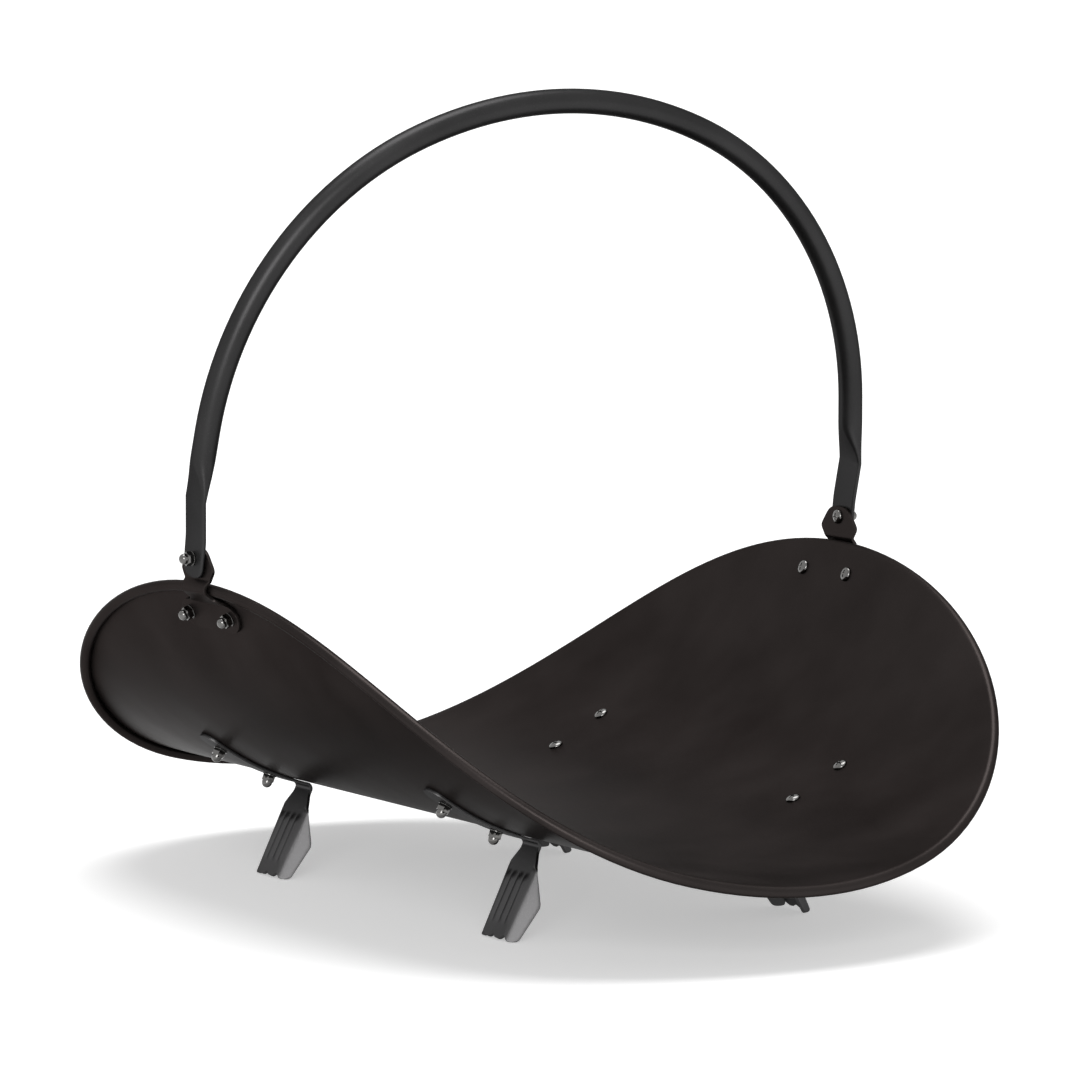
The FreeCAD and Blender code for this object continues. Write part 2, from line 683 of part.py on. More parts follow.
def leg_nodes():
    right_leg = leg()
    grip = HEAD_GAP + SHEET + SEAT_GAP + LEG_THICK + SEAT_GAP
    made = {}
    for side_name, side in SIDES.items():
        for end_name, end in ENDS.items():
            corner = f"{end_name}_{side_name}"
            shape = mirrored(right_leg, side).copy()
            shape.translate(ALONG * (end * LEG_Y))
            made[f"leg_{corner}"] = shape
            for place, angle in zip(("outer", "inner"), PAD_BOLT_ANGLES):
                point = trough_point(side * angle, -HEAD_GAP)
                seat = Vec(point.x, end * LEG_Y, point.z)
                name = "leg_{}_" + f"{corner}_{place}"
                made.update(fastening(name, seat, trough_normal(side * angle), grip))
    return made


def bracket_nodes():
    right_bracket = bracket()
    angle = bead_drop_angle(BASE_BOLT_ARC)
    grip = HEAD_GAP + SHEET + SEAT_GAP + BRACKET_THICK + SEAT_GAP
    made = {}
    for side_name, side in SIDES.items():
        made[f"bracket_{side_name}"] = mirrored(right_bracket, side)
        for end_name, end in ENDS.items():
            point = trough_point(side * angle, -HEAD_GAP)
            seat = Vec(point.x, end * BASE_BOLT_Y, point.z)
            name = "bracket_{}_" + f"{end_name}_{side_name}"
            made.update(fastening(name, seat, trough_normal(side * angle), grip))
        inner_face = side * (HEAD_FACE_X - BRACKET_THICK - SEAT_GAP)
        pivot_grip = BRACKET_THICK + SEAT_GAP + FLAT_THICK + 2 * PIVOT_GAP
        made.update(fastening("pivot_{}_" + side_name, Vec(inner_face, 0, PIVOT_HEIGHT),
                              ACROSS * side, pivot_grip))
    return made


def main():
    os.makedirs("parts", exist_ok=True)
    nodes = {"pan": pan(), "handle": handle()}
    nodes.update(leg_nodes())
    nodes.update(bracket_nodes())
    for name, shape in nodes.items():
        if not shape.isValid() or len(shape.Solids) != 1:
            raise ValueError(f"{name} is not one valid solid")
        shape.Solids[0].exportStep(f"parts/{name}.step")
        print(f"{name}: {shape.Volume / 1000:.2f} cm3")


main()
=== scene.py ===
import json
import math
import bmesh
import bpy
from bpy.props import FloatProperty, FloatVectorProperty, IntProperty, PointerProperty
from mathutils import Matrix, Vector


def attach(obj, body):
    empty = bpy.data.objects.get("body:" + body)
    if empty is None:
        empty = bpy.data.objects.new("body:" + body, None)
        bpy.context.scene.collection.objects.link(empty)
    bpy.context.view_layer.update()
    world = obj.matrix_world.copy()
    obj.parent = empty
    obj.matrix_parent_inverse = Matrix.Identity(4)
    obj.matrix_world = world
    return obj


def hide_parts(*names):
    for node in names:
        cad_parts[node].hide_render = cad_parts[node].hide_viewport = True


# The rack is made as the real one is: each sheet part starts as a flat blank, is rolled,
# pressed or folded flat, and is then bent along its forming line.
# Metres, in the frame of the CAD model: X across the trough, -Y the front, Z up.

bl_info = {
    "name": "Firewood Log Rack",
    "version": (1, 0, 0),
    "blender": (4, 5, 0),
    "location": "View3D > Sidebar > Log Rack",
    "description": "Steel log rack: rolled-rim trough, stamped legs and brackets, hoop handle",
    "category": "Object",
}

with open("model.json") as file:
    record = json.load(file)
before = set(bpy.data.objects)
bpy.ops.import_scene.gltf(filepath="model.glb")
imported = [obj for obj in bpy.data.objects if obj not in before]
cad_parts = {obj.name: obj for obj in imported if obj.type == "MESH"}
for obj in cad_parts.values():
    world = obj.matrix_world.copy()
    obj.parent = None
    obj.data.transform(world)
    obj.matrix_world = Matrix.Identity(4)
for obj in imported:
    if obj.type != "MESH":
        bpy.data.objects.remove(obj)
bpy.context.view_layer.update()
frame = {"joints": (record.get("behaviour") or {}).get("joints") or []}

BASKET = "basket"
HANDLE = "handle"
SIDES = {"left": -1, "right": 1}
ENDS = {"front": -1, "back": 1}
PIVOT_HEIGHT = frame["joints"][0]["pos_m"][2]
NEAR = 1e-5
EDGE_ROUND = 0.00035


# ---------------------------------------------------------------- properties

def a_length(name, description, metres):
    return FloatProperty(name=name, description=description, default=metres, unit="LENGTH")


def an_angle(name, description, degrees):
    return FloatProperty(name=name, description=description, default=math.radians(degrees),
                         subtype="ANGLE")


def a_colour(name, description, shade):
    return FloatVectorProperty(name=name, description=description, default=shade, size=3,
                               subtype="COLOR", min=0, max=1)


class LogRackPanProps(bpy.types.PropertyGroup):
    """Sizes of the trough"""
    sheet: a_length("Sheet", "Thickness of the trough's sheet", 0.0012)
    bead: a_length("Rim radius", "Radius of the rolled rim", 0.0036)
    half_width: a_length("Half width", "Half the blank's width, along the bend", 0.3139)
    half_length: a_length("Half length", "Half the blank's length", 0.3377)
    floor_radius: a_length("Floor radius", "Bend radius of the middle, at the rim's middle line",
                           0.3336)
    wing_radius: a_length("Wing radius", "Bend radius of the wings, at the rim's middle line",
                          0.2171)
    floor_angle: an_angle("Floor half angle", "Turn of the middle bend on each side", 14.4)
    lowest: a_length("Lowest point", "Height of the rim's middle line at its lowest", 0.0479)
    rim_steps: IntProperty(
        name="Rim steps", description="Steps round each quarter of the rim", default=48)
    rings: IntProperty(
        name="Rings", description="Rings of faces from the rim to the middle", default=40)


class LogRackHandleProps(bpy.types.PropertyGroup):
    """Sizes of the hoop handle"""
    tube: a_length("Tube radius", "Radius of the tube", 0.008)
    half_span: a_length("Half span", "Half the width between the tube's middle lines", 0.2424)
    spring: a_length("Spring height", "Height above the pivot where the arch starts", 0.0578)
    rise: a_length("Rise", "Height of the arch above its start", 0.2273)
    shoulder: a_length("Shoulder radius", "Bend radius of the hoop's sides", 0.2235)
    leg_tilt: an_angle("Leg tilt", "Inward lean of the hoop's straight legs", 5.9)
    flat_width: a_length("Flat width", "Width of the flattened ends", 0.024)
    flat_thick: a_length("Flat thickness", "Thickness of the flattened ends", 0.003)
    flat_x: a_length("Flat place", "Distance of the flats from the middle", 0.244)
    flat_splay: an_angle("Flat splay", "Outward lean of the flats above the bolt", 4.6)
    lean: an_angle("Lean", "Lean of the hoop towards the front", 8.9)


class LogRackFittingProps(bpy.types.PropertyGroup):
    """Sizes of the brackets, the legs and the fasteners"""
    bracket_thick: a_length("Bracket thickness", "Thickness of the bracket's plate", 0.002)
    bracket_face: a_length("Bracket face", "Distance of the bracket's outer face from the middle",
                           0.2423)
    bracket_top: a_length("Bracket top", "Height of the bracket's head above the bolt", 0.0068)
    bracket_bolt_y: a_length("Bracket bolts", "Distance of the bracket's bolts from its middle",
                             0.0253)
    bracket_bolt_arc: a_length("Bracket bolt depth", "Distance of those bolts below the rim",
                               0.0186)
    leg_thick: a_length("Leg thickness", "Thickness of the leg's plate", 0.002)
    leg_y: a_length("Leg place", "Distance of the legs from the middle, along the trough", 0.1445)
    splay: an_angle("Splay", "Lean of the feet away from the middle", 27.2)
    fold: an_angle("Fold", "Turn of the foot's folded sides", 55)
    seat_gap: a_length("Seat gap", "Clearance between clamped parts", 0.00006)
    head_gap: a_length("Head gap", "Clearance under a bolt's head", 0.0001)
    washer_thick: a_length("Washer thickness", "Thickness of the washers", 0.0006)


class LogRackFinishProps(bpy.types.PropertyGroup):
    """Colours of the finishes and the stage"""
    coat: a_colour("Powder coat", "Colour of the black powder coat", (0.029, 0.0247, 0.0238))
    tube_coat: a_colour("Handle coat", "Colour of the handle's coat", (0.036, 0.0355, 0.036))
    # The legs wear the same black coat as the trough. This colour is written lighter, so that the
    # feet's folded sides catch a brighter highlight: a painted highlight.
    leg_coat: a_colour("Leg coat", "Colour of the legs' coat", (0.072, 0.071, 0.072))
    # The plate colour is darker than real nickel. It stands in for dark surroundings in the
    # fasteners' reflections: a painted dark reflection.
    plate: a_colour("Nickel plate", "Colour of the plated fasteners", (0.15, 0.147, 0.143))
    floor: a_colour("Floor", "Colour of the studio floor", (0.86, 0.86, 0.86))


# ---------------------------------------------------------------- working helpers

FORMER_PART = math.radians(15)
FORMER_STEPS = 24
DOUBLES_REACH = 1e-6


def clear_selection():
    if bpy.context.mode != "OBJECT":
        bpy.ops.object.mode_set(mode="OBJECT")
    bpy.ops.object.select_all(action="DESELECT")


def take(obj):
    """Makes an object the only one selected, and active."""
    clear_selection()
    obj.select_set(True)
    bpy.context.view_layer.objects.active = obj


def open_mesh(obj):
    take(obj)
    bpy.ops.object.mode_set(mode="EDIT")
    bpy.ops.mesh.select_mode(type="VERT")


def mark(obj, test):
    """In edit mode, selects the vertices whose place passes a test, and what lies between them."""
    mesh = bmesh.from_edit_mesh(obj.data)
    for vert in mesh.verts:
        vert.select_set(False)
    mesh.select_flush(False)
    for vert in mesh.verts:
        if test(vert.co):
            vert.select_set(True)
    mesh.select_flush(True)
    bmesh.update_edit_mesh(obj.data)


def close_mesh():
    bpy.ops.object.mode_set(mode="OBJECT")


def outward_normals():
    """In edit mode, merges doubles and turns every face outwards."""
    bpy.ops.mesh.select_all(action="SELECT")
    bpy.ops.mesh.remove_doubles(threshold=DOUBLES_REACH)
    bpy.ops.mesh.normals_make_consistent(inside=False)


def apply_place(obj):
    take(obj)
    bpy.ops.object.transform_apply(location=True, rotation=True, scale=True)


def turn_about_x(obj, angle):
    take(obj)
    obj.rotation_euler = (angle, 0, 0)
    apply_place(obj)


def apply_modifier(obj, kind, **settings):
    """Adds a modifier with its settings and applies it."""
    take(obj)
    bpy.ops.object.modifier_add(type=kind)
    modifier = obj.modifiers[-1]
    for key, value in settings.items():
        setattr(modifier, key, value)
    bpy.ops.object.modifier_apply(modifier=modifier.name)


def former(start, heading, runs):
    """A line of (length, turn) runs, drawn flat in X and Y, that a blank is bent along."""
    clear_selection()
    bpy.ops.curve.primitive_bezier_curve_add()
    line = bpy.context.object
    line.data.dimensions = "2D"
    line.data.resolution_u = FORMER_STEPS
    marks = [(Vector((start[0], start[1], 0)), heading, 0)]
    for length, turn in runs:
        parts = max(1, math.ceil(abs(turn) / FORMER_PART))
        for _ in range(parts):
            place, facing, _ = marks[-1]
            step, bend = length / parts, turn / parts
            chord = step if not bend else 2 * step / bend * math.sin(bend / 2)
            reach = step / 3 if not bend else 4 / 3 * math.tan(bend / 4) * step / bend
            middle = facing + bend / 2
            end = place + Vector((math.cos(middle), math.sin(middle), 0)) * chord
            marks[-1] = (place, facing, reach) if len(marks) == 1 else marks[-1]
            marks.append((end, facing + bend, reach))
    points = line.data.splines[0].bezier_points
    points.add(len(marks) - len(points))
    for index, (place, facing, reach) in enumerate(marks):
        ahead = marks[min(index + 1, len(marks) - 1)][2]
        way = Vector((math.cos(facing), math.sin(facing), 0))
        point = points[index]
        point.handle_left_type = point.handle_right_type = "FREE"
        point.co = place
        point.handle_left = place - way * reach
        point.handle_right = place + way * ahead
    return line


def bend_along(obj, line):
    """Bends a flat blank along a former: its X becomes the line, and its top the line's left."""
    turn_about_x(obj, -math.pi / 2)
    apply_modifier(obj, "CURVE", object=line, deform_axis="POS_X")
    turn_about_x(obj, math.pi / 2)
    bpy.data.objects.remove(line)


def placed_copy(obj, side, move):
    """A copy with a mesh of its own, mirrored across the trough for the left side, and moved."""
    take(obj)
    bpy.ops.object.duplicate(linked=False)
    copy = bpy.context.object
    copy.scale.x = side
    copy.location = move
    apply_place(copy)
    if side < 0:
        open_mesh(copy)
        bpy.ops.mesh.select_all(action="SELECT")
        bpy.ops.mesh.normals_make_consistent(inside=False)
        close_mesh()
    return copy


def finish_piece(obj, name, body, nodes, material, smooth=30):
    """Names a piece, gives it its finish and its body, and puts it in its CAD nodes' place."""
    apply_place(obj)
    bpy.ops.object.shade_smooth_by_angle(angle=math.radians(smooth))
    obj.name = name
    obj.data.name = name
    obj.data.materials.clear()
    obj.data.materials.append(material)
    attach(obj, body)
    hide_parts(*nodes)
    return obj


# ---------------------------------------------------------------- finishes

# Sizes of the noises, in waves per metre.
CLOUD, SPECKLE, PEEL = 14, 1900, 620
HAZE, SCUFF = 500, 2600
COAT_GLOSS = 0.85
LEG_GLOSS = 0.95
COAT_EDGE = (0.4, 0.4, 0.4, 1)
COAT_SPECULAR = 0.02


def node_maker(tree):
    """A pair of helpers that add nodes and links to a node tree."""
    def node(kind, **settings):
        made = tree.nodes.new("ShaderNode" + kind)
        for key, value in settings.items():
            if key.startswith("in_"):
                made.inputs[key[3:].replace("_", " ")].default_value = value
            else:
                setattr(made, key, value)
        return made
    return node, tree.links.new


def new_finish(name):
    """A material with its Principled shader, and the helpers that build on it."""
    material = bpy.data.materials.new(name)
    material.use_nodes = True
    node, link = node_maker(material.node_tree)
    return material, material.node_tree.nodes["Principled BSDF"], node, link


def noise(node, link, where, scale, detail, roughness=0.5):
    made = node("TexNoise", in_Scale=scale, in_Detail=detail, in_Roughness=roughness)
    link(where, made.inputs["Vector"])
    return made.outputs["Fac"]


def spread(node, link, value, low, high, to_low, to_high):
    """Maps a texture's range to another."""
    made = node("MapRange", in_From_Min=low, in_From_Max=high, in_To_Min=to_low, in_To_Max=to_high)
    link(value, made.inputs["Value"])
    return made.outputs["Result"]


def two_tone(node, link, value, low, high, dark, pale):
    """A colour that runs from dark to pale as a value goes from low to high."""
    ramp = node("ValToRGB")
    for element, place, colour in zip(ramp.color_ramp.elements, (low, high), (dark, pale)):
        element.position = place
        element.color = list(colour) + [1]
    link(value, ramp.inputs["Fac"])
    return ramp.outputs["Color"]


def bumped(node, link, height, strength, distance):
    made = node("Bump", in_Strength=strength, in_Distance=distance)
    link(height, made.inputs["Height"])
    return made


def coat_material(name, context, key, gloss=COAT_GLOSS):
    """Satin black powder coat: fine orange peel, faint cloudy sheen, a little dust in the colour.

    It is written as mostly metallic so that the black stays dark in front of white."""
    colour = getattr(context.scene.lograck_finish, key)
    material, shader, node, link = new_finish(name)
    place = node("TexCoord").outputs["Object"]
    cloud = noise(node, link, place, CLOUD, 3)
    speckle = noise(node, link, place, SPECKLE, 2, 0.6)
    peel = noise(node, link, place, PEEL, 2, 0.45)

    tone = two_tone(node, link, cloud, 0.3, 0.72, [channel * 0.86 for channel in colour],
                    [channel * 1.2 for channel in colour])
    dust = node("MixRGB", blend_type="MIX")
    dust.inputs["Color2"].default_value = [channel * 2.2 + 0.006 for channel in colour] + [1]
    link(spread(node, link, speckle, 0.6, 0.78, 0, 0.5), dust.inputs["Fac"])
    link(tone, dust.inputs["Color1"])
    link(dust.outputs["Color"], shader.inputs["Base Color"])

    sheen = node("Math", operation="ADD")
    link(spread(node, link, cloud, 0.3, 0.7, 0.34, 0.41), sheen.inputs[0])
    link(spread(node, link, speckle, 0.3, 0.7, -0.02, 0.03), sheen.inputs[1])
    link(sheen.outputs["Value"], shader.inputs["Roughness"])
    shader.inputs["Metallic"].default_value = gloss
    shader.inputs["Specular Tint"].default_value = COAT_EDGE
    shader.inputs["Specular IOR Level"].default_value = COAT_SPECULAR

    skin = bumped(node, link, peel, 0.55, 0.00006)
    grain = bumped(node, link, speckle, 0.35, 0.00002)
    link(skin.outputs["Normal"], grain.inputs["Normal"])
    link(grain.outputs["Normal"], shader.inputs["Normal"])
    return material


def plate_material(context):
    """Nickel plate, written darker than bright nickel so that its reflections of the white
    surroundings stay dark: a painted dark reflection. Hazy polish and fine scuffs from the spanner.
    """
    colour = context.scene.lograck_finish.plate
    material, shader, node, link = new_finish("Nickel plate")
    place = node("TexCoord").outputs["Object"]
    haze = noise(node, link, place, HAZE, 3)
    scuff = noise(node, link, place, SCUFF, 3, 0.7)
    tone = two_tone(node, link, haze, 0.3, 0.7, [channel * 0.9 for channel in colour], colour)
    link(tone, shader.inputs["Base Color"])
    link(spread(node, link, scuff, 0.35, 0.75, 0.07, 0.17), shader.inputs["Roughness"])
    shader.inputs["Metallic"].default_value = 1.0
    skin = bumped(node, link, scuff, 0.25, 0.00001)
    link(skin.outputs["Normal"], shader.inputs["Normal"])
    return material


# ---------------------------------------------------------------- trough

FORMER_SPARE = 0.03
CREASE_TURN = math.radians(135)
RIM_LINE = 1.0006


def trough_place(pan, angle, outside):
    """Place on the trough's section at a slope, a distance outside the inner face."""
    side = math.copysign(1, angle)
    turn = abs(angle)
    floor = pan.floor_radius - pan.bead + outside
    wing = pan.wing_radius - pan.bead + outside
    centre = pan.lowest + pan.floor_radius
    if turn <= pan.floor_angle:
        return Vector((side * floor * math.sin(turn), 0, centre - floor * math.cos(turn)))
    arc_step = pan.floor_radius - pan.wing_radius
    wing_x = arc_step * math.sin(pan.floor_angle)
    wing_z = centre - arc_step * math.cos(pan.floor_angle)
    return Vector((side * (wing_x + wing * math.sin(turn)), 0, wing_z - wing * math.cos(turn)))


def trough_slope(pan, below_rim):
    """Slope of the wing at a distance below the rim's highest point."""
    along = pan.half_width - below_rim - pan.floor_radius * pan.floor_angle
    return pan.floor_angle + along / pan.wing_radius


def trough_former(pan):
    """The section at the middle of the rolled rim, from left to right, and its half length."""
    half_floor = pan.floor_radius * pan.floor_angle
    wing = pan.half_width - half_floor
    slope = trough_slope(pan, 0)
    tip = trough_place(pan, slope, pan.bead)
    start = (-tip.x - FORMER_SPARE * math.cos(slope), tip.z + FORMER_SPARE * math.sin(slope))
    turn = wing / pan.wing_radius
    straight = (FORMER_SPARE, 0)
    runs = [straight, (wing, turn), (2 * half_floor, 2 * pan.floor_angle), (wing, turn), straight]
    return former(start, -slope, runs), FORMER_SPARE + pan.half_width


class LOGRACK_OT_pan(bpy.types.Operator):
    """Roll the rim of an oval blank, fill it with sheet, then bend it to the trough"""
    bl_idname = "lograck.pan"
    bl_label = "Trough Pan"

    def execute(self, context):
        pan = context.scene.lograck_pan
        clear_selection()
        bpy.ops.curve.primitive_bezier_circle_add(radius=1)
        blank = context.object
        bpy.ops.object.mode_set(mode="EDIT")
        bpy.ops.curve.select_all(action="SELECT")
        bpy.ops.curve.handle_type_set(type="ALIGNED")
        bpy.ops.transform.resize(value=(pan.half_width, pan.half_length, 1),
                                 center_override=(0, 0, 0))
        bpy.ops.object.mode_set(mode="OBJECT")
        blank.data.resolution_u = pan.rim_steps
        blank.data.bevel_depth = pan.bead
        blank.data.bevel_resolution = 10
        take(blank)
        bpy.ops.object.convert(target="MESH")

        def inside(place):
            across = place.x / pan.half_width
            along = place.y / pan.half_length
            return across ** 2 + along ** 2 < RIM_LINE

        crease = pan.bead * math.sin(CREASE_TURN)
        open_mesh(blank)
        mark(blank, lambda place: inside(place) and place.z > crease - NEAR)
        bpy.ops.mesh.select_mode(type="FACE")
        bpy.ops.mesh.delete(type="ONLY_FACE")
        bpy.ops.mesh.select_mode(type="EDGE")
        bpy.ops.mesh.select_all(action="DESELECT")
        mark(blank, lambda place: inside(place)
             and crease + NEAR < place.z < pan.bead - NEAR)
        bpy.ops.mesh.select_mode(type="VERT")
        bpy.ops.mesh.delete(type="VERT")
        for layer in (pan.bead, crease):
            mark(blank, lambda place: inside(place) and abs(place.z - layer) < NEAR)
            for ring in range(pan.rings, 0, -1):
                bpy.ops.mesh.extrude_edges_move()
                shrink = (ring - 1) / ring
                bpy.ops.transform.resize(value=(shrink, shrink, 1),
                                         center_override=(0, 0, layer))
            bpy.ops.mesh.merge(type="CENTER")
        outward_normals()
        close_mesh()
        line, middle = trough_former(pan)
        blank.location.x = middle
        apply_place(blank)
        bend_along(blank, line)
        finish_piece(blank, "trough_pan", BASKET, ["pan"],
                     coat_material("Trough powder coat", context, "coat"), 35)
        return {"FINISHED"}


# ---------------------------------------------------------------- handle

# The eye's outline is a circle at a power of 1, and squarer below it. The flattened ends are
# left undrilled: the bolt's head and nut cover the place.
EYE_SQUARE = 2 / 3
THIN_GAP = 0.00002
BLANK_BELOW = 0.02
TUBE_SIDES = 40
TUBE_STEPS = 90
FLAT_BEND = 0.013
TAPER_BOTTOM = 0.038
TAPER_TOP = 0.066


def leg_top(handle):
    """Where the right leg meets its shoulder: distance from the middle, height above the bolt."""
    across = handle.half_span - handle.shoulder * (1 - math.cos(handle.leg_tilt))
    return across, handle.spring + handle.shoulder * math.sin(handle.leg_tilt)


def leg_across(handle, height):
    """Distance of the leg's middle line from the middle, at a height above the bolt."""
    across, top = leg_top(handle)
    return across + (top - height) * math.tan(handle.leg_tilt)


def station(handle, pivot, height, across, edge, gap):
    """A step of the straight blank for a section at a height and distance across."""
    out = across - leg_across(handle, -pivot)
    rise = height + pivot
    sine, cosine = math.sin(handle.leg_tilt), math.cos(handle.leg_tilt)
    return rise * cosine - out * sine, edge, gap, out * cosine + rise * sine


def end_stations(handle, pivot):
    """Steps from the rounded eye to the round tube: place, edge radius, half gap, outward shift."""
    edge = handle.flat_thick / 2
    eye = handle.flat_width / 2
    steps = []
    for degrees in (2, 6, 13, 23, 34, 46, 60, 75, 90):
        turn = math.radians(degrees)
        drop = eye * math.cos(turn) ** EYE_SQUARE
        gap = max(eye * math.sin(turn) ** EYE_SQUARE - edge, THIN_GAP)
        steps.append(station(handle, pivot, -drop, handle.flat_x, edge, gap))
    for height in (0.007, 0.0115, 0.0145, 0.022, 0.030, 0.0366, TAPER_BOTTOM):
        spread = max(height - FLAT_BEND, 0) * math.tan(handle.flat_splay)
        steps.append(station(handle, pivot, height, handle.flat_x + spread, edge, eye - edge))
    start = handle.flat_x + (TAPER_BOTTOM - FLAT_BEND) * math.tan(handle.flat_splay)
    for part in (0.05, 0.12, 0.2, 0.3, 0.4, 0.5, 0.6, 0.7, 0.8, 0.9, 1):
        eased = part ** 1.2
        swell = eased * (0.4 + eased * (2.2 - 1.6 * eased))
        radius = edge + (handle.tube - edge) * swell
        gap = (eye - edge) * (handle.tube - radius) / (handle.tube - edge)
        height = TAPER_BOTTOM + (TAPER_TOP - TAPER_BOTTOM) * part
        lag = (start - leg_across(handle, TAPER_BOTTOM)) * max(1 - 2 * part, 0)
        steps.append(station(handle, pivot, height, leg_across(handle, height) + lag, radius, gap))
    return steps


def select_ring(obj, ring, side=0):
    """Selects a ring of vertices by index, or only its half on one side of the middle."""
    mesh = bmesh.from_edit_mesh(obj.data)
    mesh.verts.ensure_lookup_table()
    for vert in mesh.verts:
        vert.select_set(False)
    mesh.select_flush(False)
    for index in ring:
        vert = mesh.verts[index]
        vert.select_set(side == 0 or side * vert.co.y > 0)
    mesh.select_flush(True)
    bmesh.update_edit_mesh(obj.data)


def sweep_tube(obj, steps):
    """Extrudes a ring along X through the steps, pulling its two halves apart to flatten it."""
    place, radius, gap, shift = steps[0]
    for after in steps[1:]:
        bpy.ops.mesh.extrude_edges_move()
        bpy.ops.transform.translate(value=(after[0] - place, 0, after[3] - shift))
        mesh = bmesh.from_edit_mesh(obj.data)
        ring = [vert.index for vert in mesh.verts if vert.select]
        if after[1] != radius or after[2] != gap:
            for side in (1, -1):
                select_ring(obj, ring, side)
                scale = after[1] / radius
                bpy.ops.transform.resize(value=(1, scale, scale),
                                         center_override=(after[0], side * gap, after[3]))
                bpy.ops.transform.translate(value=(0, side * (after[2] - gap), 0))
            select_ring(obj, ring)
        place, radius, gap, shift = after


class LOGRACK_OT_handle(bpy.types.Operator):
    """Flatten both ends of a tube, then bend it to a hoop and lean it to the front"""
    bl_idname = "lograck.handle"
    bl_label = "Hoop Handle"

    def execute(self, context):
        handle = context.scene.lograck_handle
        pivot = BLANK_BELOW
        offset = handle.half_span - handle.shoulder
        reach = handle.rise - handle.shoulder
        crown = (handle.rise ** 2 + offset ** 2 - handle.shoulder ** 2) / (2 * reach)
        meet = math.atan2(crown - handle.rise, offset)
        top = math.pi - 2 * meet
        side_turn = meet - handle.leg_tilt
        side_run = (handle.shoulder * side_turn, -side_turn)
        straight = ((pivot + leg_top(handle)[1]) / math.cos(handle.leg_tilt), 0)
        runs = [straight, side_run, (crown * top, -top), side_run, straight]
        total = sum(run[0] for run in runs)
        ends = end_stations(handle, pivot)
        first = ends[-1][0]
        span = total - 2 * first
        middle = [(first + span * index / TUBE_STEPS, handle.tube, 0, 0)
                  for index in range(1, TUBE_STEPS)]
        steps = ends + middle + [(total - one[0],) + one[1:] for one in reversed(ends)]

        clear_selection()
        bpy.ops.mesh.primitive_circle_add(vertices=TUBE_SIDES, radius=steps[0][1],
                                          rotation=(0, math.radians(90), 0))
        tube = context.object
        tube.rotation_euler.x = 0
        apply_place(tube)
        tube.rotation_euler.x = math.pi / TUBE_SIDES
        apply_place(tube)
        open_mesh(tube)
        for side in (1, -1):
            select_ring(tube, range(TUBE_SIDES), side)
            bpy.ops.transform.translate(value=(steps[0][0], side * steps[0][2], steps[0][3]))
        select_ring(tube, range(TUBE_SIDES))
        bpy.ops.mesh.duplicate()
        bpy.ops.mesh.edge_face_add()
        select_ring(tube, range(TUBE_SIDES))
        sweep_tube(tube, steps)
        bpy.ops.mesh.edge_face_add()
        outward_normals()
        close_mesh()
        line = former((-leg_across(handle, -pivot), -pivot),
                      math.radians(90) - handle.leg_tilt, runs)
        bend_along(tube, line)
        turn_about_x(tube, handle.lean)
        tube.location.z = PIVOT_HEIGHT
        apply_place(tube)
        finish_piece(tube, "hoop_handle", HANDLE, ["handle"],
                     coat_material("Handle powder coat", context, "tube_coat"), 40)
        return {"FINISHED"}


# ---------------------------------------------------------------- blanks cut in rows

# A blank is laid out this far along X, so that rows still to be moved stay clear of moved ones.
LAYOUT_PLACE = 10


def blank_from_rows(rows):
    """A flat blank laid in rows across X: each row is its place and its half widths."""
    count = len(rows) - 1
    halves = len(rows[0][1])
    clear_selection()
    bpy.ops.mesh.primitive_grid_add(x_subdivisions=count, y_subdivisions=2 * halves, size=2,
                                    location=(LAYOUT_PLACE, 0, 0))
    blank = bpy.context.object
    apply_place(blank)
    open_mesh(blank)
    for index, (along, widths) in enumerate(rows):
        place = LAYOUT_PLACE - 1 + 2 * index / count
        mark(blank, lambda spot: abs(spot.x - place) < 0.5 / count)
        bpy.ops.transform.translate(value=(along - place, 0, 0))
        for column, width in enumerate(widths):
            before = (column + 1) / halves
            mark(blank, lambda spot: abs(spot.x - along) < NEAR
                 and abs(abs(spot.y) - before) < 0.2 / halves)
            bpy.ops.transform.resize(value=(1, width / before, 1), center_override=(along, 0, 0))
    close_mesh()
    return blank


def thicken(obj, thickness, edge):
    """Gives a blank its thickness and slightly rounded edges."""
    apply_modifier(obj, "SOLIDIFY", thickness=thickness, offset=0)
    apply_modifier(obj, "BEVEL", width=edge, segments=2, limit_method="ANGLE",
                   angle_limit=math.radians(50))


def fillet_runs(corners, radius):
    """Start, heading and runs of a former through corners, with a round bend at each."""
    runs = []
    heads = [math.atan2(b[1] - a[1], b[0] - a[0]) for a, b in zip(corners, corners[1:])]
    trim = 0
    for index, (a, b) in enumerate(zip(corners, corners[1:])):
        length = math.dist(a, b) - trim
        if index < len(heads) - 1:
            turn = heads[index + 1] - heads[index]
            trim = radius * math.tan(abs(turn) / 2)
            runs += [(length - trim, 0), (radius * abs(turn), turn)]
        else:
            runs.append((length, 0))
    return corners[0], heads[0], runs


# ---------------------------------------------------------------- brackets

STEP_OUT = 0.0032
BASE_TOP = 0.0095
BASE_BOTTOM = 0.0305
BASE_LIFT = 0.000254  # keeps the flat base clear of the curved sheet
HEAD_DROPS = (0.0134, 0.0172, 0.0206)
BRACKET_BEND = 0.0022


def bracket_corners(pan, fitting):
    """Side view of the right bracket's middle line: head, step over the rim, base."""
    head_x = fitting.bracket_face - fitting.bracket_thick / 2
    step_x = head_x + STEP_OUT
    seat = pan.sheet + fitting.seat_gap + BASE_LIFT + fitting.bracket_thick / 2
    upper = trough_place(pan, trough_slope(pan, BASE_TOP), seat)
    lower = trough_place(pan, trough_slope(pan, BASE_BOTTOM), seat)
    head_end, step_start, step_end = (PIVOT_HEIGHT - drop for drop in HEAD_DROPS)
    return [(head_x, PIVOT_HEIGHT + fitting.bracket_top), (head_x, head_end),
            (step_x, step_start), (step_x, step_end), (upper.x, upper.z), (lower.x, lower.z)]


